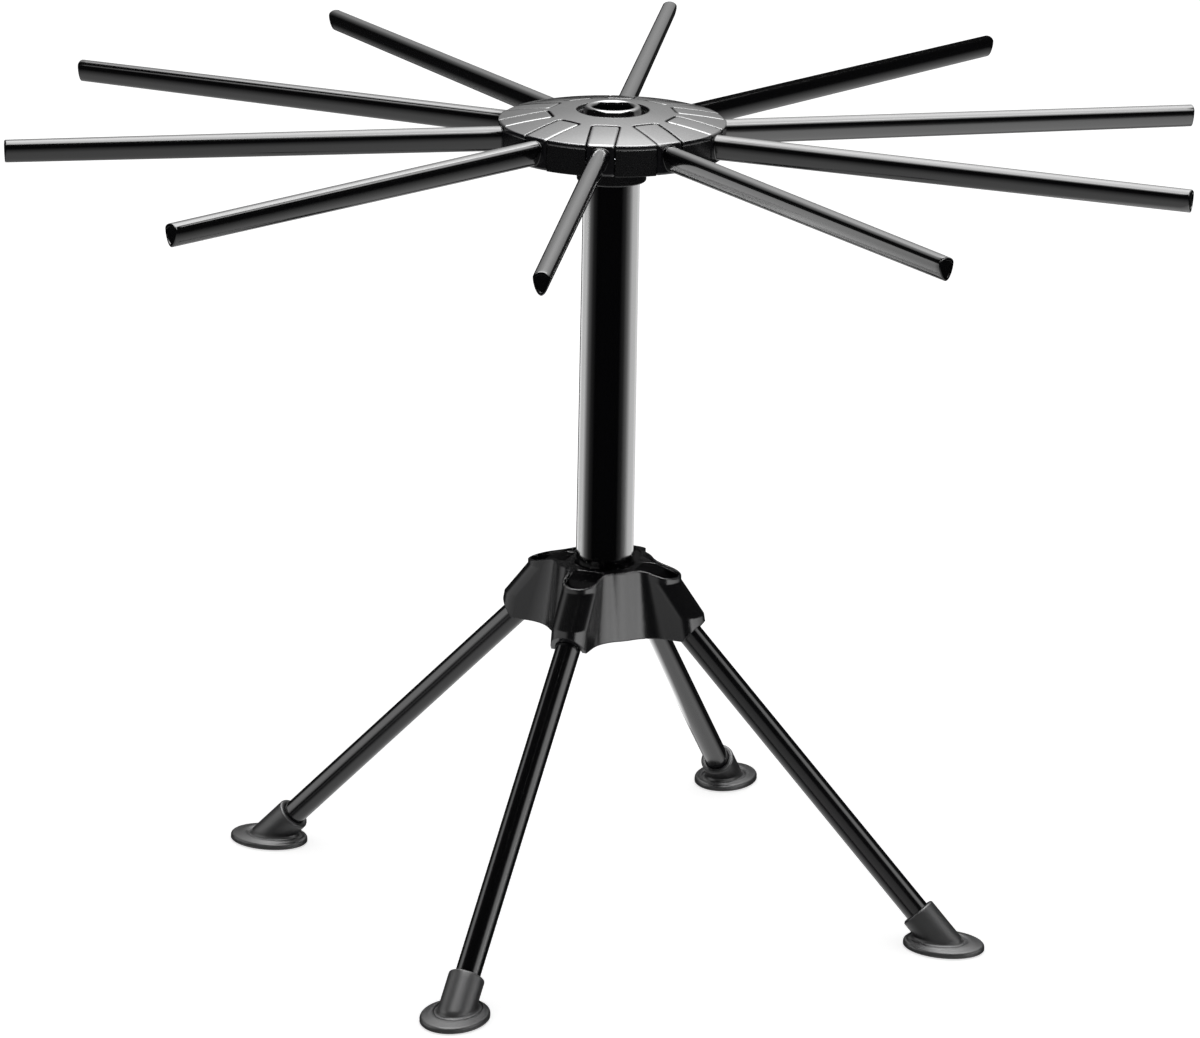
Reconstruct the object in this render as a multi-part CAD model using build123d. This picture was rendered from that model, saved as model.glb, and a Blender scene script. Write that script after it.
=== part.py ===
from build123d import *
import math
import os

# Folding rack for drying fresh pasta, in millimetres.
# The origin is on the table under the middle of the column and +Z is up.
# The legs lie along X and Y. Radial sections are written as (radius, height) pairs.
# Heights stack up from the table: foot, leg, bracket, column, hub, dome, grommet.

# Overall sizes
arm_count = 10
leg_count = 4
arm_reach = 215.0
hub_turn = -2.34
leg_length = 167.51
leg_lean = 44.0
column_length = 141.45
hub_radius = 40.4

# Hub and its dome
hub_rim_height = 11.1
dome_rise = 3.9
cap_thickness = 1.6
hub_floor = 2.0
hub_wall = 1.6
slot_wall = 1.5
collar_wall = 2.3
collar_drop = 10.5
collar_round = 0.6
core_wall = 4.9

# Arm and its hinge block
block_width = 10.0
block_share = 0.4455
block_corner = 1.4
hinge_gap = 0.3
inner_gap = 0.5
arm_pivot_inset = 5.4
arm_pivot_lift = 4.55
arm_pin_radius = 1.25
ledge_length = 3.0
ledge_height = 1.4
ledge_notch = 0.9
stop_gap = 0.35
root_width = 6.3
root_drop = 2.1
root_lift = 1.15
rod_overlap = 2.5
tip_width = 5.6
tip_shrink = 1.0
tip_lift = 2.45
tip_chamfer = 0.4
shoulder_share = 0.24
keel_share = 0.35
keel_rise_share = 0.076
side_bulge_share = 0.16

# Column and the grommet on top of it
column_head_radius = 10.1
column_flare = 0.35
column_wall = 1.7
taper_offset = 2.0
seat_clearance = 0.05
ring_brim = 1.8
ring_edge = 0.7
ring_rise = 3.45
ring_crest_shift = 0.25
ring_lip_drop = 1.2
ring_stem_wall = 2.15
ring_stem_length = 9.4
ring_sink = 0.3
ring_gap = 1.1

# Leg bracket
bracket_height = 25.0
bracket_slope = 0.267
boss_wall = 2.4
boss_floor = 2.5
boss_height = 6.5
lobe_wall = 1.5
lobe_nose_run = 6.4
lip_height = 4.5
knee_height = 8.8
knee_run = 9.1
lobe_run = 10.7
waist_run = 5.1
waist_spread = 2.5
blend_top = 6.0
blend_bottom = 14.0
nose_wall = 2.0
rim_width = 1.05
rim_height = 0.8
web_thickness = 1.7
mouth_rise = 6.6
mouth_depth = 6.7
cheek_thickness = 1.6
cheek_run = 9.0
slot_gap = 0.7
slot_run = 5.1
slot_floor_lift = 0.5
web_gap = 0.25
seat_chamfer = 0.6

# Legs and knuckles
leg_radius = 4.5
leg_wall = 1.0
leg_pivot_depth = 7.3
leg_pin_radius = 1.5
leg_start = 8.0
knuckle_gap = 0.4
knuckle_run = 4.0
knuckle_margin = 0.5
knuckle_chin = 1.0
knuckle_bevel = 1.1
spigot_length = 16.0
pin_clearance = 0.05
pin_inset = 0.3
pad_groove = 0.35

# Feet
foot_length = 30.0
foot_width = 23.6
foot_thickness = 2.4
foot_end_share = 0.84
foot_chamfer = 0.7
socket_wall = 2.0
socket_depth = 9.5
socket_floor = 5.5
socket_chamfer = 0.6

# Screws
screw_circle_share = 0.816
hub_screw_radius = 1.2
hub_screw_head_radius = 2.3
hub_screw_head_height = 1.6
hub_boss_radius = 3.0
hub_boss_height = 5.5
head_gap = 0.2
screw_end_gap = 0.5
column_screw_radius = 2.0
column_screw_head_radius = 4.0
column_screw_head_height = 2.6
plug_height = 12.0
plug_roof = 1.5

# Cutting bodies run past what they cut by this much
over = 5.0

# Radii that follow from the column outwards
column_foot_radius = column_head_radius + column_flare
column_bore_radius = column_head_radius - column_wall
ring_bore_radius = column_bore_radius - seat_clearance - ring_stem_wall
ring_outer_radius = column_head_radius + ring_brim
ring_crest_radius = (ring_bore_radius + ring_outer_radius) / 2 + ring_crest_shift
dome_top_radius = ring_outer_radius + ring_gap
collar_radius = column_head_radius + collar_wall
hub_core_radius = column_head_radius + core_wall
boss_radius = column_foot_radius + seat_clearance + boss_wall
leg_slot_inner = boss_radius + slot_gap
knuckle_inner = leg_slot_inner + knuckle_gap
leg_pivot_radius = knuckle_inner + knuckle_run
knuckle_outer = leg_pivot_radius + knuckle_run
slot_nose_center = leg_pivot_radius + slot_run
lobe_reach_top = slot_nose_center + lobe_nose_run
knee_reach = lobe_reach_top + knee_run
lobe_reach_bottom = lobe_reach_top + lobe_run
waist_top = boss_radius + waist_run
slope_start = waist_top

# Radii that follow from the hub's rim inwards
arm_pivot_radius = hub_radius - arm_pivot_inset
block_inner = hub_radius * (1 - block_share)
ledge_reach = block_inner + ledge_length
screw_circle = hub_radius * screw_circle_share

# Heights from the table up
lean = math.radians(leg_lean)
leg_pivot_height = foot_thickness / 2 + leg_length * math.cos(lean)
bracket_top = leg_pivot_height + leg_pivot_depth
bracket_bottom = bracket_top - bracket_height
lip_level = bracket_top - lip_height
knee_level = bracket_bottom + knee_height
seat_level = bracket_top - rim_height
boss_bottom = bracket_bottom + boss_height - boss_floor
column_foot_height = bracket_bottom + boss_height
collar_bottom = bracket_top + column_length
hub_bottom = collar_bottom + collar_drop
dome_rim_height = hub_bottom + hub_rim_height
dome_top_height = dome_rim_height + dome_rise
ring_seat_height = dome_top_height - cap_thickness - ring_sink
ring_crest_height = ring_seat_height + ring_rise
ring_lip_height = ring_crest_height - ring_lip_drop
ring_stem_end = ring_seat_height - ring_stem_length
arm_pivot_height = hub_bottom + arm_pivot_lift
ledge_top = hub_bottom + ledge_height
hub_boss_split = hub_bottom + hub_boss_height
above_hub = dome_top_height + over
below_hub = hub_bottom - over
below_collar = collar_bottom - over
above_bracket = bracket_top + over


# Shared helpers
def outline_face(points):
    """Flat face inside a closed run of straight lines."""
    return make_face(Polyline(*points, close=True))


def radial_plate(points, width):
    """Plate of a radial section, width across, centred on the X axis."""
    return extrude(Plane.XZ * outline_face(points), amount=width / 2, both=True)


def turned(points):
    """Solid of revolution of a radial section about the Z axis."""
    return revolve(Plane.XZ * outline_face(points), Axis.Z)


def turned_edges(edges):
    """Solid of revolution of a radial section that has curved sides."""
    return revolve(Plane.XZ * make_face(edges), Axis.Z)


def around(shape, count, start):
    """Copies of a shape spaced evenly about the Z axis."""
    return [Rot(0, 0, start + 360.0 / count * i) * shape for i in range(count)]


def upright(radius, bottom, top, at_radius=0):
    """Upright cylinder between two heights, at a distance along X."""
    return Pos(at_radius, 0, (bottom + top) / 2) * Cylinder(radius, top - bottom)


def cross_pin(radius, length, at_radius, at_height):
    """Cylinder across a radial section, centred on the X axis."""
    return Pos(at_radius, 0, at_height) * Rot(90, 0, 0) * Cylinder(radius, length)


os.makedirs("parts", exist_ok=True)


def save(shape, name):
    """Writes one piece to its own file."""
    export_step(shape, "parts/" + name + ".step")


# Dome, a sphere through the rim and the edge round the grommet
chord_term = hub_radius ** 2 - dome_top_radius ** 2
dome_center = (dome_rim_height + dome_top_height - chord_term / dome_rise) / 2
dome_radius = math.hypot(hub_radius, dome_rim_height - dome_center)


def dome_height(radius):
    """Height of the dome at a distance from the column axis."""
    return dome_center + math.sqrt(dome_radius ** 2 - radius ** 2)


def under_dome(drop, outer, inner, bottom):
    """Turned solid from a flat bottom up to the dome lowered by drop."""
    middle = (inner + outer) / 2
    start = (inner, dome_height(inner) - drop)
    end = (outer, dome_height(outer) - drop)
    crown = ThreePointArc(start, (middle, dome_height(middle) - drop), end)
    rest = Polyline(end, (outer, bottom), (inner, bottom), start)
    return turned_edges([*crown.edges(), *rest.edges()])


# Hinge slots of the hub
slot_width = block_width + 2 * hinge_gap
slot_inner = block_inner - inner_gap
slot_section = [
    (slot_inner, ledge_top),
    (ledge_reach, ledge_top),
    (ledge_reach, below_hub),
    (hub_radius + over, below_hub),
    (hub_radius + over, above_hub),
    (slot_inner, above_hub),
]
hub_slot = radial_plate(slot_section, slot_width)
wall_start = slot_inner - slot_wall
wall_plate = Pos(wall_start + hub_radius / 2, 0, (below_hub + above_hub) / 2)
wall_plate = wall_plate * Box(hub_radius, slot_width + 2 * slot_wall, above_hub - below_hub)
slot_walls = around(wall_plate, arm_count, hub_turn)

# Hub cap
screw_count = arm_count // 2
screw_turn = hub_turn + 180.0 / arm_count
screw_top = dome_rim_height - screw_end_gap
hub_cap = under_dome(0, hub_radius, dome_top_radius, hub_bottom)
hub_cap -= under_dome(cap_thickness, hub_radius + 1, 0.0, hub_bottom - 1)
slot_corners = hub_slot.edges().filter_by(Axis.Z).group_by(Axis.X)[0]
cap_slot = fillet(slot_corners, block_corner + hinge_gap / 2)
hub_cap -= around(cap_slot, arm_count, hub_turn)
cap_boss = upright(hub_boss_radius, hub_boss_split, dome_rim_height, screw_circle)
cap_bosses = Compound(children=around(cap_boss, screw_count, screw_turn))
hub_cap += cap_bosses - slot_walls
cap_hole = upright(hub_screw_radius, hub_bottom, screw_top, screw_circle)
hub_cap -= around(cap_hole, screw_count, screw_turn)
save(hub_cap, "hub_cap")

# Hub body
hub_body = under_dome(cap_thickness, hub_radius, 0.0, hub_bottom)
hub_body -= around(hub_slot, arm_count, hub_turn)
pocket = upright(hub_radius - hub_wall, hub_bottom + hub_floor, above_hub)
pocket -= upright(hub_core_radius, hub_bottom, above_hub)
pocket -= slot_walls
body_boss = upright(hub_boss_radius, hub_bottom, hub_boss_split, screw_circle)
pocket -= around(body_boss, screw_count, screw_turn)
hub_body -= pocket
collar = upright(collar_radius, collar_bottom, hub_bottom)
collar = fillet(collar.edges().group_by(Axis.Z)[0], collar_round)
hub_body += collar
hub_body -= upright(dome_top_radius, ring_seat_height, above_hub)
hub_body -= upright(column_head_radius + seat_clearance, below_collar, ring_seat_height)
body_hole = upright(hub_screw_radius, below_hub, hub_boss_split, screw_circle)
head_top = hub_bottom + hub_screw_head_height + head_gap
head_pit = upright(hub_screw_head_radius + head_gap, below_hub, head_top, screw_circle)
hub_body -= around(body_hole + head_pit, screw_count, screw_turn)
pin_length = slot_width + 2 * (slot_wall - pin_inset)
arm_pin = cross_pin(arm_pin_radius, pin_length, arm_pivot_radius, arm_pivot_height)
arm_pins = around(arm_pin, arm_count, hub_turn)
hub_body -= arm_pins
save(hub_body, "hub_body")
save(Compound(children=arm_pins), "arm_hinge_pins")

# Screws from below that hold the cap down
hub_screw = upright(hub_screw_radius, head_top, screw_top - screw_end_gap, screw_circle)
hub_screw += upright(
    hub_screw_head_radius, head_top - hub_screw_head_height, head_top, screw_circle
)
save(Compound(children=around(hub_screw, screw_count, screw_turn)), "hub_screws")

# Grommet
crest = ThreePointArc(
    (ring_outer_radius, ring_seat_height + ring_edge),
    (ring_crest_radius, ring_crest_height),
    (ring_bore_radius, ring_lip_height),
)
ring_sides = Polyline(
    (ring_bore_radius, ring_lip_height),
    (ring_bore_radius, ring_stem_end),
    (column_bore_radius - seat_clearance, ring_stem_end),
    (column_bore_radius - seat_clearance, ring_seat_height),
    (ring_outer_radius, ring_seat_height),
    (ring_outer_radius, ring_seat_height + ring_edge),
)
save(turned_edges([*crest.edges(), *ring_sides.edges()]), "top_ring")

# Column tube, plug and its screw
column_tube = turned([
    (column_bore_radius, column_foot_height),
    (column_foot_radius, column_foot_height),
    (column_foot_radius, bracket_top + taper_offset),
    (column_head_radius, collar_bottom - taper_offset),
    (column_head_radius, ring_seat_height),
    (column_bore_radius, ring_seat_height),
])
save(column_tube, "column_tube")
plug_top = column_foot_height + plug_height
plug_hole_top = plug_top - plug_roof
column_plug = upright(column_bore_radius - seat_clearance, column_foot_height, plug_top)
column_plug -= upright(column_screw_radius, column_foot_height - 1, plug_hole_top)
save(column_plug, "column_plug")
column_screw = upright(column_screw_radius, boss_bottom, plug_hole_top - screw_end_gap)
column_screw += upright(
    column_screw_head_radius, boss_bottom - column_screw_head_height, boss_bottom
)
save(column_screw, "column_screw")


# Four lobed bracket
# Each nose has an upright lip on top, then slopes out to a knee over its mouth
nose_profile = [
    (bracket_bottom, lobe_reach_bottom),
    (knee_level, knee_reach),
    (lip_level, lobe_reach_top),
    (bracket_top, lobe_reach_top),
]


def lobe_reach(height):
    """Reach of the lobes' noses at a height."""
    for (low, low_reach), (high, high_reach) in zip(nose_profile, nose_profile[1:]):
        if height <= high:
            break
    return low_reach + (high_reach - low_reach) * (height - low) / (high - low)


def lobe_outline(height, inset, reach_inset):
    """Face of the round nosed lobes at a height, drawn in by the insets."""
    share = (bracket_top - height) / bracket_height
    half = slot_half + lobe_wall - inset
    reach = lobe_reach(height) - reach_inset
    waist = waist_top + share * waist_spread - inset
    blend = blend_top + share * (blend_bottom - blend_top) + inset
    nose = reach - half
    center_y = half + blend
    center_x = math.sqrt((waist + blend) ** 2 - center_y ** 2)
    touch = (waist * center_x / (waist + blend), waist * center_y / (waist + blend))
    toward = (-center_x / (waist + blend), -center_y / (waist + blend) - 1)
    size = math.hypot(*toward)
    bend = (center_x + blend * toward[0] / size, center_y + blend * toward[1] / size)
    middle = (waist * math.sqrt(0.5), waist * math.sqrt(0.5))
    quarter = [
        *ThreePointArc((nose, -half), (reach, 0), (nose, half)).edges(),
        *Line((nose, half), (center_x, half)).edges(),
        *ThreePointArc((center_x, half), bend, touch).edges(),
        *ThreePointArc(touch, middle, touch[::-1]).edges(),
        *ThreePointArc(touch[::-1], bend[::-1], (half, center_x)).edges(),
        *Line((half, center_x), (half, nose)).edges(),
    ]
    edges = [Rot(0, 0, 90 * i) * edge for i in range(leg_count) for edge in quarter]
    return Pos(0, 0, height) * make_face(edges)


def lobed(bottom, top, inset, reach_inset):
    """Straight sided solid through the lobe outlines between two heights."""
    levels = [bottom, knee_level, lip_level, top]
    faces = [lobe_outline(level, inset, reach_inset) for level in levels]
    return loft(faces, ruled=True)


def above_slope(drop):
    """Everything above the bracket's sloping top, lowered by drop."""
    far = lobe_reach_bottom + over
    level = bracket_top - drop
    return turned([
        (0, level),
        (slope_start, level),
        (far, level - (far - slope_start) * bracket_slope),
        (far, above_bracket),
        (0, above_bracket),
    ])


knuckle_width = 2 * (leg_radius + knuckle_margin)
slot_half = knuckle_width / 2 + hinge_gap
leg_bracket = lobed(bracket_bottom, bracket_top, 0, 0) - above_slope(0)
recess = lobed(bracket_bottom, bracket_top + rim_height, rim_width, rim_width)
leg_bracket -= recess & above_slope(rim_height)
hollow = lobed(bracket_bottom - 2, bracket_top, lobe_wall, nose_wall)
hollow -= above_slope(rim_height + web_thickness)
hollow -= upright(boss_radius, boss_bottom, bracket_top)
cheek_start = boss_radius - 1
cheek_length = leg_pivot_radius + cheek_run - cheek_start
cheek_height = 2 * leg_pivot_depth
for side in (-1, 1):
    cheek = Pos(
        cheek_start + cheek_length / 2,
        side * (slot_half + cheek_thickness / 2),
        bracket_top - cheek_height / 2,
    ) * Box(cheek_length, cheek_thickness, cheek_height)
    hollow -= around(cheek, leg_count, 0)
leg_bracket -= hollow
slot_bottom = leg_pivot_height + slot_floor_lift
web_half = knuckle_width / 2 + web_gap
slot_length = slot_nose_center - leg_slot_inner
leg_slot = Pos(slot_nose_center - slot_length / 2, 0, (slot_bottom + above_bracket) / 2)
leg_slot = leg_slot * Box(slot_length, 2 * web_half, above_bracket - slot_bottom)
leg_slot += upright(web_half, slot_bottom, above_bracket, slot_nose_center)
leg_bracket -= around(leg_slot, leg_count, 0)

# Arched mouths of the lobes, cut along a slant through the noses
mouth_top = (lobe_reach(bracket_bottom + mouth_rise), bracket_bottom + mouth_rise)
mouth_corner = (lobe_reach_bottom - mouth_depth, bracket_bottom)
mouth_run = (mouth_top[0] - mouth_corner[0], mouth_top[1] - mouth_corner[1])
mouth_low = (mouth_corner[0] - mouth_run[0] / 2, mouth_corner[1] - mouth_run[1] / 2)
mouth_high = (mouth_top[0] + mouth_run[0], mouth_top[1] + mouth_run[1])
mouth_far = lobe_reach_bottom + over
mouth_cut = radial_plate(
    [mouth_low, mouth_high, (mouth_far, mouth_high[1]), (mouth_far, mouth_low[1])],
    lobe_reach_bottom,
)
leg_bracket -= around(mouth_cut, leg_count, 0)

# Column seat with a small lead in, and the screw's hole
seat_radius = column_foot_radius + seat_clearance
leg_bracket -= upright(seat_radius, column_foot_height, above_bracket)
leg_bracket -= turned([
    (column_foot_radius, seat_level + 1),
    (column_foot_radius, seat_level - seat_chamfer),
    (seat_radius, seat_level - seat_chamfer),
    (seat_radius + seat_chamfer, seat_level),
    (seat_radius + seat_chamfer, seat_level + 1),
])
leg_bracket -= upright(column_screw_radius, boss_bottom - 1, column_foot_height + 1)
leg_pin_length = 2 * (slot_half + cheek_thickness - pin_inset)
leg_pin = cross_pin(leg_pin_radius, leg_pin_length, leg_pivot_radius, leg_pivot_height)
leg_pins = around(leg_pin, leg_count, 0)
leg_bracket -= leg_pins
save(leg_bracket, "leg_bracket")
save(Compound(children=leg_pins), "leg_hinge_pins")

# One leg along +X
along = (math.sin(lean), -math.cos(lean))
across = (math.cos(lean), math.sin(lean))
leg_plane = Plane(
    origin=(leg_pivot_radius, 0, leg_pivot_height),
    x_dir=(0, 1, 0),
    z_dir=(along[0], 0, along[1]),
)


def leg_point(distance, offset):
    """Radial section point at a distance down the leg and an offset from its axis."""
    return (
        leg_pivot_radius + distance * along[0] + offset * across[0],
        leg_pivot_height + distance * along[1] + offset * across[1],
    )


def leg_rod(radius, start, end):
    """Cylinder on the leg's axis between two distances from its hinge."""
    return leg_plane * Pos(0, 0, (start + end) / 2) * Cylinder(radius, end - start)


def web_height(radius):
    """Height of the bracket's recessed web."""
    return seat_level - max(0, radius - slope_start) * bracket_slope


leg_end = leg_length - socket_floor
leg_tube = leg_rod(leg_radius, leg_start, leg_end)
leg_tube -= leg_rod(leg_radius - leg_wall, leg_start - 1, leg_end + 1)

knuckle_section = [
    (knuckle_inner, web_height(knuckle_inner)),
    (slope_start, web_height(slope_start)),
    (knuckle_outer, web_height(knuckle_outer)),
    leg_point(leg_start, leg_radius),
    leg_point(leg_start, -leg_radius),
    leg_point(pin_inset, -leg_radius),
    (knuckle_inner + pin_inset, leg_pivot_height - knuckle_chin - knuckle_bevel),
    (knuckle_inner, leg_pivot_height - knuckle_chin),
]
leg_knuckle = radial_plate(knuckle_section, knuckle_width)
spigot_radius = leg_radius - leg_wall - seat_clearance
leg_knuckle += leg_rod(spigot_radius, leg_start, leg_start + spigot_length)
leg_knuckle -= cross_pin(
    leg_pin_radius + pin_clearance, knuckle_width + 1, leg_pivot_radius, leg_pivot_height
)
groove_length = slope_start - knuckle_inner
leg_knuckle -= Pos(
    knuckle_inner + groove_length / 2, 0, seat_level
) * Box(groove_length, pad_groove, pad_groove * 2)


# Foot with its slanted socket
def oval(length, width):
    """Oval face of two end arcs and two side arcs that run smoothly into each other."""
    end_radius = width / 2 * foot_end_share
    end_center = length / 2 - end_radius
    side_term = end_center ** 2 + (width / 2) ** 2 - end_radius ** 2
    side_radius = side_term / (width - 2 * end_radius)
    side_center = side_radius - width / 2
    reach = side_radius / (side_radius - end_radius)
    touch = (end_center * reach, side_center * (reach - 1))
    corners = [(touch[0], -touch[1]), touch, (-touch[0], touch[1]), (-touch[0], -touch[1])]
    through = [(length / 2, 0), (0, width / 2), (-length / 2, 0), (0, -width / 2)]
    edges = []
    for i in range(4):
        arc = ThreePointArc(corners[i], through[i], corners[(i + 1) % 4])
        edges.extend(arc.edges())
    return make_face(edges)


foot_center = leg_pivot_radius + leg_length * math.sin(lean)
foot = extrude(oval(foot_length, foot_width), amount=foot_thickness)
foot = chamfer(foot.edges().group_by(Axis.Z)[-1], foot_chamfer)
foot = Pos(foot_center, 0, 0) * foot
socket_start = leg_end - socket_depth
socket = leg_rod(leg_radius + socket_wall, socket_start, leg_length + foot_width)
socket = chamfer(socket.edges().group_by(Axis.Z)[-1], socket_chamfer)
below_table = 2 * foot_length
socket -= Pos(foot_center, 0, -below_table / 2) * Box(below_table, below_table, below_table)
foot += socket
foot -= leg_rod(leg_radius + seat_clearance, socket_start - 1, leg_end)

for index in range(leg_count):
    turn = Rot(0, 0, 360.0 / leg_count * index)
    save(turn * leg_tube, "leg_tube_" + str(index + 1))
    save(turn * leg_knuckle, "leg_knuckle_" + str(index + 1))
    save(turn * foot, "foot_" + str(index + 1))


# One arm along +X
def drop_section(width, height, bottom):
    """Teardrop face across the arm: round top, bulged sides and a narrow keel, all arcs."""
    half = width / 2
    keel = half * keel_share
    shoulder = bottom + height * (1 - shoulder_share)
    keel_top = bottom + height * keel_rise_share
    side = ((half + keel) / 2 + half * side_bulge_share, (shoulder + keel_top) / 2)
    edges = [
        *ThreePointArc((-half, shoulder), (0, bottom + height), (half, shoulder)).edges(),
        *ThreePointArc((half, shoulder), side, (keel, keel_top)).edges(),
        *ThreePointArc((keel, keel_top), (0, bottom), (-keel, keel_top)).edges(),
        *ThreePointArc((-keel, keel_top), (-side[0], side[1]), (-half, shoulder)).edges(),
    ]
    return make_face(edges)


root_height = hub_rim_height - root_drop
root_face = drop_section(root_width, root_height, hub_bottom + root_lift)
tip_face = drop_section(tip_width, root_height - tip_shrink, hub_bottom + tip_lift)
rod = loft([
    Pos(hub_radius - rod_overlap, 0, 0) * (Plane.YZ * root_face),
    Pos(arm_reach, 0, 0) * (Plane.YZ * tip_face),
], ruled=True)
rod = chamfer(rod.edges().group_by(Axis.X)[-1], tip_chamfer)

block_notch = ledge_reach + ledge_notch
block_section = [
    (block_inner, ledge_top + stop_gap),
    (block_notch, ledge_top + stop_gap),
    (block_notch, hub_bottom),
    (hub_radius + over, hub_bottom),
    (hub_radius + over, above_hub),
    (block_inner, above_hub),
]
block = radial_plate(block_section, block_width)
block_corners = block.edges().filter_by(Axis.Z).group_by(Axis.X)[0]
block = fillet(block_corners, block_corner)
block = block & under_dome(0, hub_radius, 0.0, hub_bottom - 1)
arm = block + rod
arm -= cross_pin(
    arm_pin_radius + pin_clearance, block_width + 1, arm_pivot_radius, arm_pivot_height
)
for index in range(arm_count):
    turn = Rot(0, 0, hub_turn + 360.0 / arm_count * index)
    save(turn * arm, "arm_" + str(index + 1).zfill(2))
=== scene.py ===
import math

import bpy
import numpy as np
from mathutils import Matrix, Vector


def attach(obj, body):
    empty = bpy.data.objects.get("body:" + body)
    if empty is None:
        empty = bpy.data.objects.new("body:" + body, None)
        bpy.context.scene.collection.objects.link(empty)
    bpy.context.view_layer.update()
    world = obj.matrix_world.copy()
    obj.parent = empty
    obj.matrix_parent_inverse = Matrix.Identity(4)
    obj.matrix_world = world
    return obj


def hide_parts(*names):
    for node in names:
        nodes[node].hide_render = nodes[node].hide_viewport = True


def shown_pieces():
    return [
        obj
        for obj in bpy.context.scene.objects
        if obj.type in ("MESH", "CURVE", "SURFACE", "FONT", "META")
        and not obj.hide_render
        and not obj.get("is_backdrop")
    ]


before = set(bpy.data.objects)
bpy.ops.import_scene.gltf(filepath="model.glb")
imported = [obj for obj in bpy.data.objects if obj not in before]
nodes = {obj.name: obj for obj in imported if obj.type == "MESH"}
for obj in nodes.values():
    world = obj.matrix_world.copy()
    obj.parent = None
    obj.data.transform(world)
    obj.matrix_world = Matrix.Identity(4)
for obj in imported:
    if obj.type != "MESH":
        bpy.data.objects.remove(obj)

scene = bpy.context.scene
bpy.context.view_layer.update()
MM = 0.001

# Numbers of arms and legs, and the first arm's bearing in degrees
ARMS, LEGS = 10, 4
HUB_TURN = -2.34
# Sizes of the rack in millimetres, as the solids have them. A reach is a distance from the
# column's axis, and a lift is a height above the hub's underside.
HUB_RADIUS, DOME_TOP_RADIUS = 40.4, 13.0
# Heights of the hub's underside, the dome's rim and top, and the grommet's parts
HUB_LOW, DOME_RIM, DOME_TOP = 280.95, 292.05, 295.95
CREST, RING_SEAT, STEM_END = 297.45, 294.05, 284.65
# The hinge block's half width and inner end, and the hub's stop ledge under it
BLOCK_HALF, BLOCK_REACH = 5.0, 22.4
LEDGE_REACH, LEDGE_LIFT = 26.25, 1.75
# The arm's section at its root and at its tip
ROOT_REACH, ROOT_WIDTH, ROOT_HEIGHT, ROOT_LIFT = HUB_RADIUS - 2.5, 6.3, 9.0, 1.15
TIP_REACH, TIP_WIDTH, TIP_HEIGHT, TIP_LIFT = 215.0, 5.6, 8.0, 2.45

# A leg's hinge as (reach, height) and its lean from upright
LEG_PIVOT = (18.0, 121.7)
LEG_LEAN = math.radians(44.0)
# The tube and the foot's socket, from distances down the leg's axis
LEG_RADIUS, LEG_START, LEG_END = 4.5, 8.0, 162.0
SOCKET_RADIUS, SOCKET_START = 6.5, 152.5
# The foot's oval flange: half length, half width and thickness
FOOT_HALF = (15.0, 11.8)
FOOT_THICK = 2.4

dome_center = (
    DOME_RIM + DOME_TOP + (HUB_RADIUS**2 - DOME_TOP_RADIUS**2) / (DOME_RIM - DOME_TOP)
) / 2
dome_radius = math.hypot(HUB_RADIUS, DOME_RIM - dome_center)


def dome(reach):
    """Height of the hub's dome at a distance from the column's axis: a sphere's cap."""
    return dome_center + np.sqrt(dome_radius**2 - reach**2)


# Meshes
def surface(name, points, faces, crease):
    """Mesh object from points in millimetres and faces that list the points' numbers.

    Shading is smooth, with a crease wherever two faces meet at more than the given angle.
    """
    mesh = bpy.data.meshes.new(name)
    mesh.from_pydata((points * MM).tolist(), [], faces)
    mesh.update()
    mesh.polygons.foreach_set("use_smooth", np.ones(len(mesh.polygons), bool))
    mesh.set_sharp_from_angle(angle=math.radians(crease))
    piece = bpy.data.objects.new(name, mesh)
    scene.collection.objects.link(piece)
    return piece


def tube(name, rings, crease, ends="closed"):
    """Closed skin through rings of points, an array of (stations, around, 3).

    Point (i, j) joins (i + 1, j) and (i, j + 1), and the last point of a ring joins its first.
    With ends "closed" the first and last rings are filled, with "joined" the last ring meets
    the first, as on a grommet. The faces are turned over if the skin's volume comes out
    negative, so they look outwards.
    """
    stations, around = rings.shape[:2]
    number = np.arange(stations * around).reshape(stations, around)
    if ends == "joined":
        low, high = number, np.roll(number, -1, axis=0)
    else:
        low, high = number[:-1], number[1:]
    quads = np.stack(
        [low, np.roll(low, -1, axis=1), np.roll(high, -1, axis=1), high], axis=-1
    ).reshape(-1, 4)
    faces = quads.tolist()
    if ends == "closed":
        faces.append(number[0][::-1].tolist())
        faces.append(number[-1].tolist())
    corners = (rings - rings.mean(axis=(0, 1))).reshape(-1, 3)[quads]
    fans = [np.cross(corners[:, 1], corners[:, 2]), np.cross(corners[:, 2], corners[:, 3])]
    if sum((corners[:, 0] * fan).sum() for fan in fans) < 0:
        faces = [face[::-1] for face in faces]
    return surface(name, rings.reshape(-1, 3), faces, crease)


def spin(points, degrees):
    """The points turned about the Z axis."""
    a = math.radians(degrees)
    c, s = math.cos(a), math.sin(a)
    out = points.copy()
    out[..., 0] = c * points[..., 0] - s * points[..., 1]
    out[..., 1] = s * points[..., 0] + c * points[..., 1]
    return out


def level(ring, height):
    """Copy of a ring of points with all of them at one height."""
    flat = ring.copy()
    flat[:, 2] = height
    return flat


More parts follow.
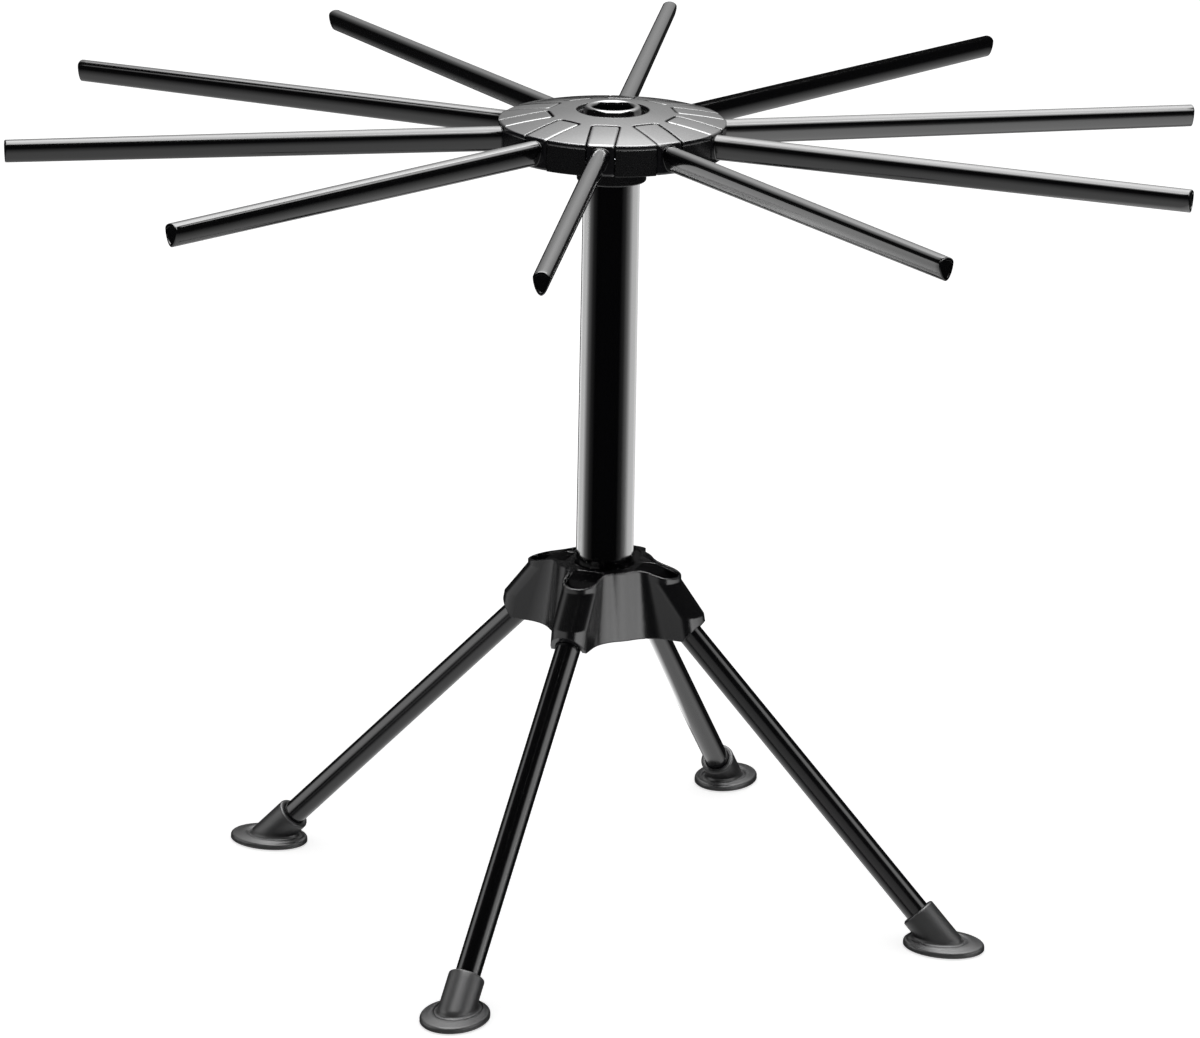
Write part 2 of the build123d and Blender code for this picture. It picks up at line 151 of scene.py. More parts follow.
# Arms
def drop_outline(width, height):
    """Teardrop across the arm, as (y, z) with z 0 at the keel.

    The top quarter is half an ellipse. Below it the half width falls with a power of the
    depth down to a round keel. The points are spaced evenly along the outline.
    """
    half, keel_half, top_share, points = width / 2, 0.95, 0.24, 60
    fall, keel_power, crowding = 1.8, 8, 2.2
    a = np.linspace(0, np.pi / 2, 40)
    top_y, top_depth = half * np.sin(a), top_share * (1 - np.cos(a))
    u = 1 - (1 - np.linspace(0, 1, 160)) ** crowding
    side_y = (half - keel_half) * (1 - u**fall) + keel_half * np.sqrt(1 - u**keel_power)
    side_depth = top_share + (1 - top_share) * u
    y = np.concatenate([top_y, side_y[1:]])
    depth = np.concatenate([top_depth, side_depth[1:]])
    y = np.concatenate([y, -y[-2::-1]])
    depth = np.concatenate([depth, depth[-2::-1]])
    steps = np.hypot(np.diff(y), np.diff(depth) * height)
    run = np.concatenate([[0], np.cumsum(steps)])
    even = np.linspace(0, run[-1], points, endpoint=False)
    return np.stack([np.interp(even, run, y), height * (1 - np.interp(even, run, depth))], axis=1)


def grown(outline, by):
    """The outline moved outwards along its own normals."""
    along = np.roll(outline, -1, axis=0) - np.roll(outline, 1, axis=0)
    normal = np.stack([-along[:, 1], along[:, 0]], axis=1)
    normal /= np.linalg.norm(normal, axis=1, keepdims=True)
    return outline + by * normal


def arm_rod(name, bearing):
    """Tapered teardrop bar: the outline carried from the hub's side to the tip.

    Width, height and lift change evenly with the reach. The root flares by a small quarter
    round, the tip's edge is rounded, and the tip's face is sunk inside a thin rim.
    """
    flare, edge, sunk, buried = 0.25, 0.5, 0.22, 1.0
    q = np.linspace(0, np.pi / 2, 6)
    stations = [(HUB_RADIUS - buried, flare)]
    for a in q:
        stations.append((HUB_RADIUS + flare * (1 - math.cos(a)), flare * (1 - math.sin(a))))
    stations += [(reach, 0.0) for reach in np.linspace(HUB_RADIUS + 6, TIP_REACH - 3, 24)]
    for a in q:
        stations.append((TIP_REACH - edge * (1 - math.sin(a)), -edge * (1 - math.cos(a))))
    rings = []
    for reach, by in stations:
        share = (reach - ROOT_REACH) / (TIP_REACH - ROOT_REACH)
        width = ROOT_WIDTH + share * (TIP_WIDTH - ROOT_WIDTH)
        height = ROOT_HEIGHT + share * (TIP_HEIGHT - ROOT_HEIGHT)
        keel = HUB_LOW + ROOT_LIFT + share * (TIP_LIFT - ROOT_LIFT)
        out = grown(drop_outline(width, height), by)
        rings.append(np.column_stack([np.full(len(out), reach), out[:, 0], out[:, 1] + keel]))
    face = rings[-1]
    middle = face.mean(axis=0)
    for scale, back in ((0.86, 0.0), (0.82, sunk), (0.5, sunk), (0.2, sunk)):
        ring = middle + (face - middle) * scale
        ring[:, 0] = TIP_REACH - back
        rings.append(ring)
    return tube(name, spin(np.array(rings), bearing), 50.0)


def rounded_section(half, corner):
    """Rounded rectangle as rows of (y, anchor, rise).

    The rise counts from the block's top where the anchor is 1, and from its foot where it is 0.
    """
    q = np.linspace(0, np.pi / 2, 7)
    turn = list(zip(half - corner * (1 - np.cos(q)), corner * (1 - np.sin(q))))
    flat = np.linspace(-(half - corner), half - corner, 13)[1:-1]
    low = [(y, 0, rise) for y, rise in turn] + [(y, 0, 0.0) for y in flat[::-1]]
    low += [(-y, 0, rise) for y, rise in turn[::-1]]
    top = [(-y, 1, -rise) for y, rise in turn] + [(y, 1, 0.0) for y in flat]
    top += [(y, 1, -rise) for y, rise in turn[::-1]]
    return np.array(low + top)


def arm_block(name, bearing):
    """Hinge block at the arm's root, whose top is the pad in the dome.

    A rounded rectangle is carried from the block's inner end, which is round in plan, to
    the hub's side. Its top follows the dome, and its foot steps up over the stop ledge.
    A station is (depth, scale, inset): how far it is from its end of the block, how much
    smaller it is than the section, and how far it stands back from the block's faces.
    """
    corner, plan_round, clear = 0.85, 1.4, 1.0
    q = np.linspace(0, np.pi / 2, 6)
    cap = [(0.0, scale, 0.0) for scale in (0.05, 0.35, 0.7)]
    edge = [(corner * (1 - math.cos(a)), 1.0, corner * (1 - math.sin(a))) for a in q]
    over_ledge = np.linspace(BLOCK_REACH + clear, LEDGE_REACH, 5) - BLOCK_REACH
    past_ledge = np.linspace(LEDGE_REACH, HUB_RADIUS - clear, 14) - BLOCK_REACH
    zones = {
        "inner": cap + edge + [(depth, 1.0, 0.0) for depth in over_ledge],
        "middle": [(depth, 1.0, 0.0) for depth in past_ledge],
        "outer": [(-depth, scale, inset) for depth, scale, inset in edge[::-1]] + cap[::-1],
    }
    rings = []
    for zone, stations in zones.items():
        for depth, scale, inset in stations:
            section = rounded_section(BLOCK_HALF - inset, corner)
            y = section[:, 0] * scale
            bend = np.clip(np.abs(y) - (BLOCK_HALF - plan_round), 0, plan_round)
            inner = BLOCK_REACH + plan_round - np.sqrt(plan_round**2 - bend**2)
            outer = np.sqrt(HUB_RADIUS**2 - y**2)
            if zone == "inner":
                x = inner + depth
            elif zone == "middle":
                x = inner + (outer - clear - inner) * depth / (HUB_RADIUS - clear - BLOCK_REACH)
            else:
                x = outer + depth
            foot = HUB_LOW + (LEDGE_LIFT if zone == "inner" else 0.0) + inset
            top = dome(np.hypot(x, y)) - inset
            z = np.where(section[:, 1] > 0.5, top, foot) + section[:, 2]
            middle = (top + foot) / 2
            rings.append(np.column_stack([x, y, middle + (z - middle) * scale]))
    return tube(name, spin(np.array(rings), bearing), 35.0)


def grommet():
    """Grommet turned round the Z axis: a straight stem, a round crest, a flank and a flat brim."""
    bore, stem, brim, crest_round = 7.2, 8.3, 11.9, 1.45
    profile = [(stem, RING_SEAT), (stem, STEM_END), (bore, STEM_END), (bore, RING_SEAT)]
    for a in np.radians(np.linspace(180, 20, 18)):
        out, rise = crest_round * (1 + math.cos(a)), crest_round * (math.sin(a) - 1)
        profile.append((bore + out, CREST + rise))
    for back, rise in ((1.1, 0.6), (0.9, 0.35), (0.2, 0.3), (0.0, 0.15), (0.0, 0.0)):
        profile.append((brim - back, RING_SEAT + rise))
    a = np.linspace(0, 2 * np.pi, 128, endpoint=False)
    rings = [np.column_stack([r * np.cos(a), r * np.sin(a), np.full(len(a), z)]) for r, z in profile]
    return tube("grommet", np.array(rings), 50.0, "joined")


# Legs and feet
def leg_circle(distance, radius, around):
    """Circle of points about a leg's slanted axis, at a distance down from its hinge."""
    a = np.linspace(0, 2 * np.pi, around, endpoint=False)
    s, c = math.sin(LEG_LEAN), math.cos(LEG_LEAN)
    offset = radius * np.cos(a)
    x = LEG_PIVOT[0] + distance * s + offset * c
    z = LEG_PIVOT[1] - distance * c + offset * s
    return np.column_stack([x, radius * np.sin(a), z])


def leg_tube(name, bearing):
    """Straight drawn tube along the leg's slanted axis, with a soft edge at its ends."""
    soft, face_inset, plain = 0.25, 1.2, 6.0
    stations = [(LEG_START, LEG_RADIUS - face_inset), (LEG_START, LEG_RADIUS - soft)]
    stations += [(LEG_START + soft, LEG_RADIUS)]
    stations += [(d, LEG_RADIUS) for d in np.linspace(LEG_START + plain, LEG_END - plain, 14)]
    stations += [(LEG_END - soft, LEG_RADIUS)]
    stations += [(LEG_END, LEG_RADIUS - soft), (LEG_END, LEG_RADIUS - face_inset)]
    rings = [leg_circle(distance, radius, 56) for distance, radius in stations]
    return tube(name, spin(np.array(rings), bearing), 50.0)


def foot_shell(name, bearing):
    """Moulded foot: a slanted socket that runs out into an oval flange.

    Rings run from the bore over the round mouth, down the socket to a level cut, through a
    fillet onto the flange, over a raised ring beside the fillet, round the edge and under.
    """
    bore, mouth_in, mouth_out = LEG_RADIUS + 0.05, 0.3, 0.8
    fillet, edge_round, edge_drop, sole_edge = 1.5, 1.1, 1.23, 0.3
    raised, raised_share, slope = 0.7, 0.34, 0.4
    around = 96
    a = np.linspace(0, 2 * np.pi, around, endpoint=False)
    s, c = math.sin(LEG_LEAN), math.cos(LEG_LEAN)

    rings = [leg_circle(SOCKET_START + depth, bore, around) for depth in (6.0, 0.5)]
    for turn in np.radians(np.linspace(180, 90, 4)):
        distance = SOCKET_START + mouth_in * (1 - math.sin(turn))
        rings.append(leg_circle(distance, bore + mouth_in * (1 + math.cos(turn)), around))
    for turn in np.radians(np.linspace(90, 0, 7)):
        distance = SOCKET_START + mouth_out * (1 - math.sin(turn))
        rings.append(leg_circle(distance, SOCKET_RADIUS - mouth_out * (1 - math.cos(turn)), around))
    top = rings[-1]
    drop = (top[:, 2] - FOOT_THICK - fillet) / c
    run = np.column_stack([drop * s, np.zeros(around), -drop * c])
    rings += [top + share * run for share in np.linspace(0.12, 1, 10)]

    cut = rings[-1]
    center = np.array([LEG_PIVOT[0] + (LEG_PIVOT[1] - FOOT_THICK / 2) * s / c, 0, 0])
    oval = np.column_stack([FOOT_HALF[0] * np.cos(a), FOOT_HALF[1] * np.sin(a), np.zeros(around)])
    outward = level(center + oval - cut, 0)
    length = np.linalg.norm(outward, axis=1, keepdims=True)
    outward /= length
    for turn in np.radians(np.linspace(12, 90, 6)):
        height = FOOT_THICK + fillet * (1 - math.sin(turn))
        rings.append(level(cut + outward * fillet * (1 - math.cos(turn)), height))
    start = cut + outward * fillet
    flat = length - fillet - edge_round
    for share in np.linspace(0.1, 1, 14):
        swell = share / raised_share
        height = FOOT_THICK + raised * swell * math.exp(1 - swell) - slope * share
        rings.append(level(start + outward * flat * share, height))
    for turn in np.radians(np.linspace(80, 0, 7)):
        height = FOOT_THICK - edge_drop + edge_round * math.sin(turn)
        rings.append(level(start + outward * (flat + edge_round * math.cos(turn)), height))
    for inset, height in ((0.0, sole_edge), (sole_edge, 0.0), (4.0, 0.0)):
        rings.append(level(center + oval - outward * inset, height))
    rings += [center + oval * scale for scale in (0.5, 0.2)]
    return tube(name, spin(np.array(rings), bearing), 42.0)


# Colours and finishes
def tone(hex_code):
    """Linear colour of an sRGB hex value."""
    parts = [int(hex_code[i:i + 2], 16) / 255 for i in (1, 3, 5)]
    linear = [p / 12.92 if p <= 0.04045 else ((p + 0.055) / 1.055) ** 2.4 for p in parts]
    return (*linear, 1.0)


WHITE = tone("#ffffff")


def blank(owner):
    """Turns on the nodes of a material or a world and gives its tree, emptied."""
    owner.use_nodes = True
    owner.node_tree.nodes.clear()
    return owner.node_tree


def add(tree, kind, inputs=None, **settings):
    """Adds a node, sets its fields, and fills its sockets with values or with (node, output)."""
    item = tree.nodes.new(kind)
    for key, value in settings.items():
        setattr(item, key, value)
    for key, value in (inputs or {}).items():
        if isinstance(value, tuple) and isinstance(value[0], bpy.types.Node):
            tree.links.new(value[0].outputs[value[1]], item.inputs[key])
        else:
            item.inputs[key].default_value = value
    return item


def noise(tree, size, detail, roughness=0.5):
    """Noise on object coordinates, with features of a real size in millimetres."""
    place = add(tree, "ShaderNodeTexCoord")
    return add(tree, "ShaderNodeTexNoise", {
        "Vector": (place, "Object"), "Scale": 1 / (size * MM),
        "Detail": detail, "Roughness": roughness,
    })


def finish(name, colour, second, rough, grain, wave=None, edge=0.0, metallic=0.0):
    """Material of one piece of the rack, with the finish's real sizes in millimetres.

    The colour drifts slowly between two near tones. A fine grain of (size, depth) moves the
    bump, and the roughness within (middle, spread). A slow wave of (size, depth) stands for
    the soft unevenness of a moulding or a paint film. With edge the shading runs round the
    sharp edges of a solid, as on the moulded piece.
    """
    drift = 22.0
    material = bpy.data.materials.new(name)
    tree = blank(material)
    fine = noise(tree, grain[0], 3.0, 0.6)
    colours = add(tree, "ShaderNodeMix", {
        "Factor": (noise(tree, drift, 2.0), "Fac"), "A": tone(colour), "B": tone(second),
    }, data_type="RGBA")
    roughness = add(tree, "ShaderNodeMapRange", {
        "Value": (fine, "Fac"), "From Min": 0.3, "From Max": 0.7,
        "To Min": rough[0] - rough[1], "To Max": rough[0] + rough[1],
    })
    normal = add(tree, "ShaderNodeBump", {
        "Height": (fine, "Fac"), "Strength": 1.0, "Distance": grain[1] * MM,
    })
    if edge:
        bevel = add(tree, "ShaderNodeBevel", {"Radius": edge * MM}, samples=6)
        tree.links.new(bevel.outputs["Normal"], normal.inputs["Normal"])
    if wave:
        normal = add(tree, "ShaderNodeBump", {
            "Height": (noise(tree, wave[0], 1.0), "Fac"), "Strength": 1.0,
            "Distance": wave[1] * MM, "Normal": (normal, "Normal"),
        })
    shader = add(tree, "ShaderNodeBsdfPrincipled", {
        "Base Color": (colours, 2), "Roughness": (roughness, "Result"),
        "Normal": (normal, "Normal"), "IOR": 1.5, "Metallic": metallic,
    })
    add(tree, "ShaderNodeOutputMaterial", {"Surface": (shader, "BSDF")})
    return material


# Gloss ABS, moulded and polished: deep black, crisp highlight with a slight unevenness
arm_abs = finish("gloss_abs_moulded_arm", "#040405", "#060607",
                 rough=(0.12, 0.02), grain=(0.9, 0.002), wave=(14, 0.006))
# Spark eroded ABS: fine satin grain that spreads the light to a dark grey
cap_abs = finish("satin_abs_spark_eroded_cap", "#0e0e10", "#121214",
                 rough=(0.15, 0.03), grain=(0.45, 0.0015), wave=(9, 0.006), edge=0.9)
# The same ABS on the hub's body, rougher and darker
body_abs = finish("satin_abs_moulded_hub", "#08080a", "#0b0b0c",
                  rough=(0.26, 0.04), grain=(0.5, 0.001), edge=0.4)
# Polished ABS grommet: sharp highlight on its crest
ring_abs = finish("gloss_abs_moulded_grommet", "#08080a", "#0b0b0c",
                  rough=(0.14, 0.02), grain=(0.8, 0.003))
# Enamelled steel tube: mirror black, with the faint orange peel of a stoved paint film
column_enamel = finish("gloss_enamel_on_steel_column", "#020203", "#030304",
                       rough=(0.1, 0.015), grain=(1.2, 0.0015), wave=(6, 0.002))
# Glass filled nylon: satin moulding with a soft bloom
bracket_nylon = finish("satin_nylon_moulded_bracket", "#08080a", "#0c0c0e",
                       rough=(0.24, 0.03), grain=(0.5, 0.0006), wave=(8, 0.006), edge=0.7)
# Powder coated steel tube: fine texture, a duller highlight than the column
leg_coat = finish("powder_coat_on_steel_leg", "#050506", "#08080a",
                  rough=(0.16, 0.03), grain=(0.6, 0.003), wave=(6, 0.003))
# Moulded rubber: matt, faintly dusty, no clear highlight
foot_rubber = finish("matt_rubber_moulded_foot", "#161617", "#1c1c1d",
                     rough=(0.42, 0.05), grain=(0.5, 0.008), wave=(6, 0.01))
# Zinc plated steel pins and screws
pin_steel = finish("zinc_plated_steel_pin", "#b4b6ba", "#9ea0a5",
                   rough=(0.32, 0.06), grain=(0.4, 0.004), metallic=1.0)
# Plain polypropylene plug inside the column
plug_pp = finish("plain_pp_moulded_plug", "#1b1b1c", "#222223",
                 rough=(0.5, 0.05), grain=(0.5, 0.01))


# Pieces in their materials
def dress(piece, material, body, slot, *replaced):
    """Gives a new piece its material and its body, and hides the solids that it stands for. The slot is
    not used.
    """
    piece.data.materials.append(material)
    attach(piece, body)
    if replaced:
        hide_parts(*replaced)


def coat(material, *names):
    """Puts a material on solids that are shown as they are."""
    for name in names:
        for place in nodes[name].material_slots:
            place.material = material


for i in range(ARMS):
    number = "%02d" % (i + 1)
    arm = "arm_" + number
    bearing = HUB_TURN + i * 360 / ARMS
    rod = arm_rod("arm_rod_" + number, bearing)
    block = arm_block("arm_block_" + number, bearing)
    dress(rod, arm_abs, arm, "arm_gloss", arm)
    dress(block, cap_abs, arm, "hub_cap_satin")

for i in range(LEGS):
    number = str(i + 1)
    leg = "leg_" + number
    bearing = i * 360 / LEGS
    shaft = leg_tube("leg_shaft_" + number, bearing)
    foot = foot_shell("foot_shell_" + number, bearing)
    dress(shaft, leg_coat, leg, "leg_paint", "leg_tube_" + number)
    dress(foot, foot_rubber, leg, "foot_rubber", "foot_" + number)
    coat(bracket_nylon, "leg_knuckle_" + number)

dress(grommet(), ring_abs, "stand", "ring_gloss", "top_ring")
coat(cap_abs, "hub_cap")
coat(body_abs, "hub_body")
coat(column_enamel, "column_tube")
coat(bracket_nylon, "leg_bracket")
coat(plug_pp, "column_plug")
coat(pin_steel, "column_screw", "hub_screws", "arm_hinge_pins", "leg_hinge_pins")


# Table and room, in metres
def table():
    """White table just under the feet: plain white to the camera apart from soft shadows."""
    half, drop = 6.0, 0.0004
    mesh = bpy.data.meshes.new("table_top")
    corners = [(-half, -half, -drop), (half, -half, -drop), (half, half, -drop), (-half, half, -drop)]
    mesh.from_pydata(corners, [], [(0, 1, 2, 3)])
    material = bpy.data.materials.new("white_table_paint")
    tree = blank(material)
    paint = add(tree, "ShaderNodeBsdfDiffuse", {"Color": WHITE})
    glow = add(tree, "ShaderNodeEmission", {"Color": WHITE, "Strength": 0.62})
    both = add(tree, "ShaderNodeAddShader", {0: (paint, 0), 1: (glow, 0)})
    add(tree, "ShaderNodeOutputMaterial", {"Surface": (both, 0)})
    mesh.materials.append(material)
    top = bpy.data.objects.new("table_top", mesh)
    scene.collection.objects.link(top)
    top.visible_glossy = False
    top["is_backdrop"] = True


def room():
    """White room for the camera and for soft light.

    In reflections it is dark, apart from the table's glow in rays that leave steeply downwards.
    """
    world = bpy.data.worlds.new("studio")
    scene.world = world
    tree = blank(world)
    ray = add(tree, "ShaderNodeLightPath")
    sky = add(tree, "ShaderNodeTexCoord")
    height = add(tree, "ShaderNodeSeparateXYZ", {0: (sky, "Generated")})
    table_glow = add(tree, "ShaderNodeMapRange", {
        "Value": (height, "Z"), "From Min": -0.42, "From Max": -0.68, "To Min": 0.02, "To Max": 1.15,
    })
    soft = add(tree, "ShaderNodeBackground", {"Color": WHITE, "Strength": 0.5})
    mirrored = add(tree, "ShaderNodeBackground", {"Color": WHITE, "Strength": (table_glow, "Result")})
    seen = add(tree, "ShaderNodeBackground", {"Color": WHITE, "Strength": 1.0})
    lit = add(tree, "ShaderNodeMixShader", {
        0: (ray, "Is Glossy Ray"), 1: (soft, 0), 2: (mirrored, 0),
    })
    whole = add(tree, "ShaderNodeMixShader", {0: (ray, "Is Camera Ray"), 1: (lit, 0), 2: (seen, 0)})
    add(tree, "ShaderNodeOutputWorld", {"Surface": (whole, 0)})


table()
room()

# Camera, as fitted to the photo's hub, arm tips, column and feet
CAMERA_PLACE = (0.67898, -1.72970, 0.71578)
CAMERA_TURN, CAMERA_TILT, CAMERA_ROLL = np.radians([21.14, 17.19, 1.135])


def place_camera(position, turn, tilt, roll):
    """Puts the camera at a point in metres, turned about Z, tilted down and rolled."""
    ahead = Vector((-math.sin(turn) * math.cos(tilt), math.cos(turn) * math.cos(tilt), -math.sin(tilt)))
    level_right = Vector((math.cos(turn), math.sin(turn), 0.0))
    level_up = level_right.cross(ahead)
    right = math.cos(roll) * level_right + math.sin(roll) * level_up
    up = -math.sin(roll) * level_right + math.cos(roll) * level_up
    pose = Matrix((right, up, -ahead)).transposed().to_4x4()
    pose.translation = Vector(position)
    lens = bpy.data.cameras.new("product_camera")
    lens.sensor_width = 36.0
    lens.lens = 161.02
    lens.shift_x = -0.02603
    lens.shift_y = 0.00777
    lens.clip_end = 50.0
    camera = bpy.data.objects.new("product_camera", lens)
    camera.matrix_world = pose
    scene.collection.objects.link(camera)
    scene.camera = camera


place_camera(CAMERA_PLACE, CAMERA_TURN, CAMERA_TILT, CAMERA_ROLL)

# Light screens, in metres. Their places count from the camera's point of view: BEHIND points
# away from it along the table, and RIGHTWARD to its right.
BEHIND = np.array([-math.sin(CAMERA_TURN), math.cos(CAMERA_TURN)])
RIGHTWARD = np.array([math.cos(CAMERA_TURN), math.sin(CAMERA_TURN)])
# Heights of the hub, the column's middle, the bracket, the soft box and the table's patches
HUB_LEVEL, COLUMN_LEVEL, BRACKET_LEVEL, CEILING, TABLE_SKIN = 0.29, 0.2, 0.1, 1.5, 0.002
# Distances of the upright screens from the column, and the rows of points in each screen
SCREEN_FAR, SCREEN_NEAR = 1.6, 0.7
GRID = 9

# Brightness curves as (share of the way, value)
EVEN = ((0.0, 1.0), (1.0, 1.0))
SOFT_ENDS = ((0.0, 0.35), (0.14, 1.0), (0.86, 1.0), (1.0, 0.35))


def screen_material(name, strength, across, upward):
    """Light screen's cloth: its strength times a curve across it and a curve up it.

    It lets rays through, so a screen for one group of pieces hides no screen of another.
    """
    material = bpy.data.materials.new(name)
    tree = blank(material)
    place = add(tree, "ShaderNodeTexCoord")
    split = add(tree, "ShaderNodeSeparateXYZ", {0: (place, "UV")})
    product = None
    for axis, curve in (("X", across), ("Y", upward)):
        ramp = add(tree, "ShaderNodeValToRGB", {"Fac": (split, axis)})
        steps = ramp.color_ramp.elements
        while len(steps) < len(curve):
            steps.new(0.5)
        for step, (at, value) in zip(steps, curve):
            step.position = at
            step.color = (value, value, value, 1.0)
        product = add(tree, "ShaderNodeMath", {
            0: (ramp, "Color"), 1: (product, 0) if product else strength,
        }, operation="MULTIPLY")
    glow = add(tree, "ShaderNodeEmission", {"Color": WHITE, "Strength": (product, 0)})
    clear = add(tree, "ShaderNodeBsdfTransparent")
    both = add(tree, "ShaderNodeAddShader", {0: (glow, 0), 1: (clear, 0)})
    add(tree, "ShaderNodeOutputMaterial", {"Surface": (both, 0)})
    return material


def light(name, points, columns, strength, across, upward, lit):
    """Screen of light from rows of points, seen only by reflections on the lit pieces."""
    rows = len(points) // columns
    number = np.arange(rows * columns).reshape(rows, columns)
    quads = np.stack([number[:-1, :-1], number[:-1, 1:], number[1:, 1:], number[1:, :-1]], -1)
    mesh = bpy.data.meshes.new(name)
    mesh.from_pydata(points.tolist(), [], quads.reshape(-1, 4).tolist())
    layer = mesh.uv_layers.new(name="UVMap")
    index = np.zeros(len(mesh.loops), np.int32)
    mesh.loops.foreach_get("vertex_index", index)
    u, v = (index % columns) / (columns - 1), (index // columns) / (rows - 1)
    layer.data.foreach_set("uv", np.stack([u, v], axis=1).ravel())
    mesh.materials.append(screen_material(name + "_cloth", strength, across, upward))
    cloth = bpy.data.objects.new(name, mesh)
    scene.collection.objects.link(cloth)
    cloth.visible_camera = False
    cloth.visible_shadow = False
    cloth.visible_diffuse = False
    group = bpy.data.collections.new("lit_by_" + name)
    for piece in lit:
        group.objects.link(piece)
    cloth.light_linking.receiver_collection = group
    cloth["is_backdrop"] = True


def screen(name, bearings, pitches, strength, across, upward, lit, height, far=SCREEN_FAR):
    """Upright curved screen round the rack, between two bearings and between two pitches.

    Bearings are degrees from straight behind the rack, growing to the right. Pitches are
    degrees above the given height on the column's axis.
    """
    columns = 25
    a = np.radians(np.linspace(*bearings, columns))
    low, high = np.tan(np.radians(pitches))
    flat = far * (np.cos(a)[:, None] * BEHIND + np.sin(a)[:, None] * RIGHTWARD)
    levels = height + far * np.linspace(low, high, GRID)
    points = np.concatenate([np.column_stack([flat, np.full(columns, z)]) for z in levels])
    light(name, points, columns, strength, across, upward, lit)


def sheet(right, back, height):
    """Grid of points for a level light, from (start, length) to the right and to the back."""
    spread = np.linspace(0, 1, GRID)
    return np.array([
        (*(x * RIGHTWARD + y * BEHIND), height)
        for y in back[0] + back[1] * spread for x in right[0] + right[1] * spread
    ])


def made_of(*starts):
    """The shown pieces whose names start with one of the given words."""
    return [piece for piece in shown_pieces() if piece.name.startswith(starts)]


def without(pieces, *ends):
    """The pieces whose names end with none of the given words."""
    return [piece for piece in pieces if not piece.name.endswith(ends)]


arms_and_hub = made_of("arm_rod", "arm_block", "hub_")
top_parts = arms_and_hub + made_of("grommet")
column_parts = made_of("column")
bracket = made_of("leg_bracket")
leg_parts = made_of("leg_shaft", "foot_shell")

# Soft box over the rack. Two arms that lie dark in the photo are left out.
ceiling = sheet((-0.65, 1.45), (-0.9, 2.05), CEILING)
light("soft_box", ceiling, GRID, 12.5, SOFT_ENDS, ((0.0, 0.6), (0.4, 1.0), (0.8, 0.9), (1.0, 0.45)),
      without(top_parts, "_05", "_10") + made_of("foot_shell"))
# Two more for the edges of the dome's pads and for the bracket's rim, the second over the
# rear half only. Screens at one place would hide each other, so these are a little higher.
light("seam_light", ceiling + [0, 0, 0.1], GRID, 18.0, SOFT_ENDS, SOFT_ENDS,
      made_of("hub_cap", "arm_block", "grommet"))
light("edge_light", ceiling[GRID * 4:] + [0, 0, 0.2], GRID, 30.0, SOFT_ENDS, SOFT_ENDS, bracket)

# Pale wall behind the arms that brightens upwards, without the third arm, which is dark in
# the photo, and two boxes in front
screen("back_wall", (-55, 80), (0, 46), 6.5, ((0.0, 0.15), (0.2, 0.3), (0.42, 1.0), (1.0, 0.9)),
       ((0.0, 0.06), (0.26, 0.15), (0.45, 0.32), (0.6, 0.5), (0.74, 0.95), (1.0, 1.0)),
       without(top_parts, "arm_rod_03"), HUB_LEVEL)
screen("right_box", (118, 162), (8, 60), 11.0, SOFT_ENDS,
       ((0.0, 0.12), (0.2, 0.45), (0.35, 0.9), (1.0, 1.0)), arms_and_hub, HUB_LEVEL)
screen("left_box", (-150, -112), (20, 60), 8.0, SOFT_ENDS,
       ((0.0, 0.1), (0.3, 0.4), (0.4, 1.0), (1.0, 1.0)), arms_and_hub, HUB_LEVEL)

# Bright patches of the table, which three arms and the rear leg mirror on their lower sides
light("table_patch", sheet((0.05, 0.5), (-0.35, 0.4), TABLE_SKIN), GRID, 1.8, SOFT_ENDS, SOFT_ENDS,
      made_of("arm_rod_01", "arm_rod_02"))
light("left_patch", sheet((-1.2, 1.1), (0.0, 1.6), TABLE_SKIN), GRID, 1.9, SOFT_ENDS, SOFT_ENDS,
      made_of("arm_rod_10"))
light("back_patch", sheet((-0.4, 0.42), (0.02, 0.8), TABLE_SKIN), GRID, 6.0,
      ((0.0, 0.6), (0.9, 1.0), (1.0, 0.1)), EVEN, made_of("leg_shaft_2"))

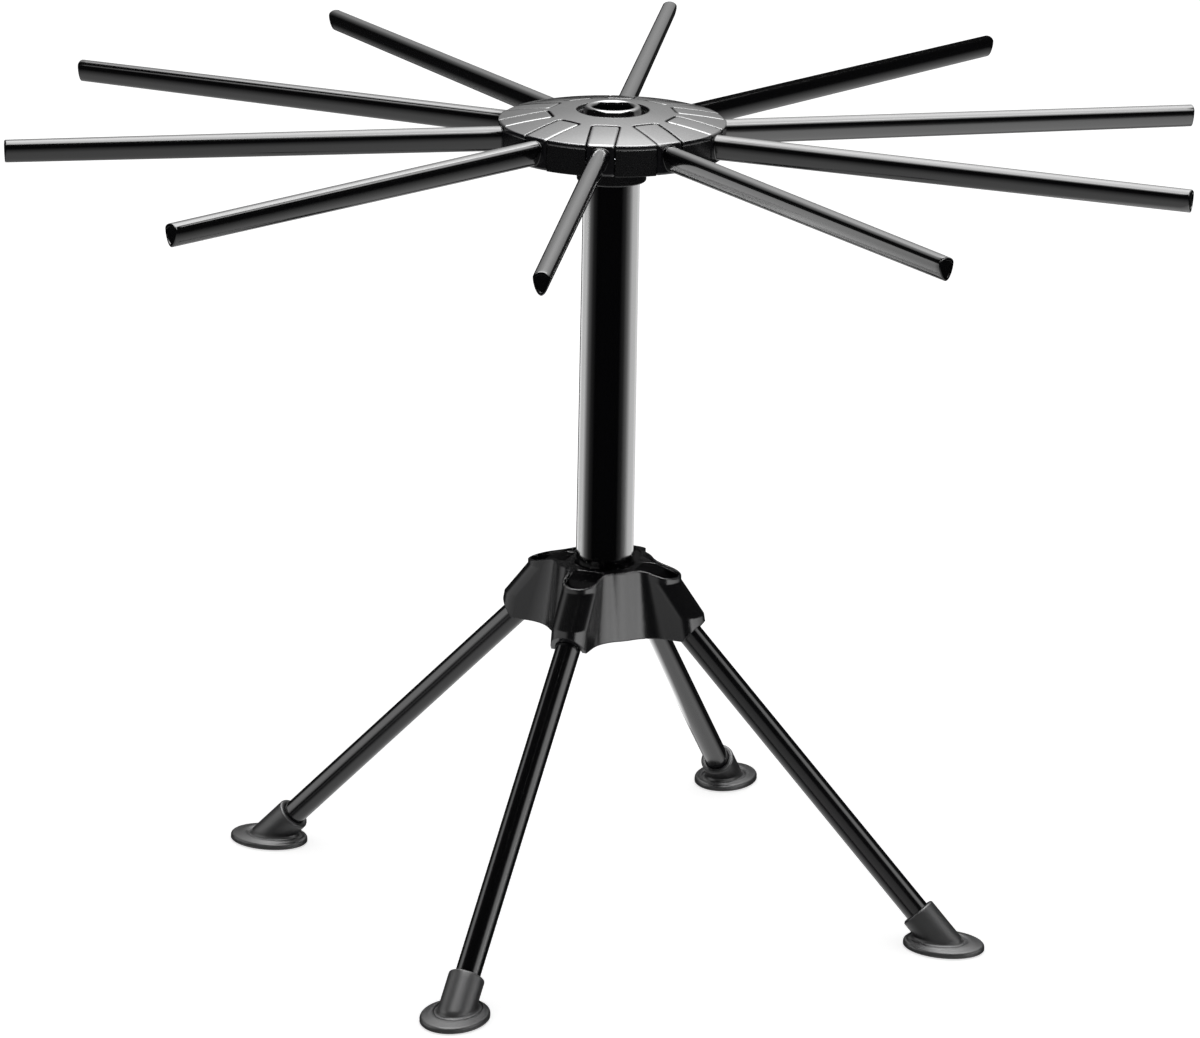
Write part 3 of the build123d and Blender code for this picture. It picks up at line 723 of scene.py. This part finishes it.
# Strip boxes at both sides of the column
screen("left_strip", (-128, -28), (-40, 5), 6.2,
       ((0.0, 0.0), (0.18, 0.04), (0.36, 0.25), (0.55, 1.0), (0.75, 0.6), (1.0, 0.5)),
       EVEN, column_parts, COLUMN_LEVEL)
screen("right_strip", (8, 136), (-40, 5), 6.2,
       ((0.0, 0.1), (0.28, 0.5), (0.54, 1.0), (0.7, 0.35), (0.85, 0.06), (1.0, 0.0)),
       EVEN, column_parts, COLUMN_LEVEL)

# Fills for the legs and feet: from the left, from the right, a low card beside the right
# one, a weak one from the front, and one from behind, above the feet
screen("left_fill", (-125, -60), (-8, 38), 3.0, ((0.0, 0.3), (0.25, 1.0), (0.8, 0.7), (1.0, 0.2)),
       ((0.0, 0.4), (0.2, 1.0), (0.8, 1.0), (1.0, 0.3)), leg_parts, BRACKET_LEVEL)
screen("right_fill", (76, 122), (-8, 48), 2.9, ((0.0, 0.3), (0.3, 1.0), (0.8, 1.0), (1.0, 0.3)),
       ((0.0, 0.4), (0.2, 1.0), (0.8, 1.0), (1.0, 0.3)), leg_parts, BRACKET_LEVEL)
screen("side_card", (92, 150), (-20, 10), 2.6, ((0.0, 0.4), (0.3, 1.0), (0.7, 1.0), (1.0, 0.4)),
       ((0.0, 0.5), (0.5, 1.0), (1.0, 0.6)), leg_parts, BRACKET_LEVEL)
screen("front_fill", (126, 234), (-22, 22), 0.8, ((0.0, 0.6), (0.2, 1.0), (0.8, 1.0), (1.0, 0.6)),
       ((0.0, 1.0), (1.0, 0.6)), leg_parts, BRACKET_LEVEL)
screen("rim_light", (-60, 60), (26, 56), 2.2, SOFT_ENDS, SOFT_ENDS, made_of("foot_shell"),
       BRACKET_LEVEL)

# The band of light on the bracket's waist, and the dull light on its left side
screen("waist_light", (56, 153), (-19, 8), 5.0,
       ((0.0, 0.05), (0.4, 0.5), (0.6, 0.8), (0.77, 0.8), (0.87, 1.0), (1.0, 0.9)),
       ((0.0, 0.9), (0.5, 1.0), (1.0, 0.4)), bracket, BRACKET_LEVEL, SCREEN_NEAR)
screen("lobe_light", (200, 300), (-22, 34), 1.1, SOFT_ENDS, SOFT_ENDS,
       bracket + made_of("leg_knuckle"), BRACKET_LEVEL)

scene.view_settings.view_transform = "Standard"
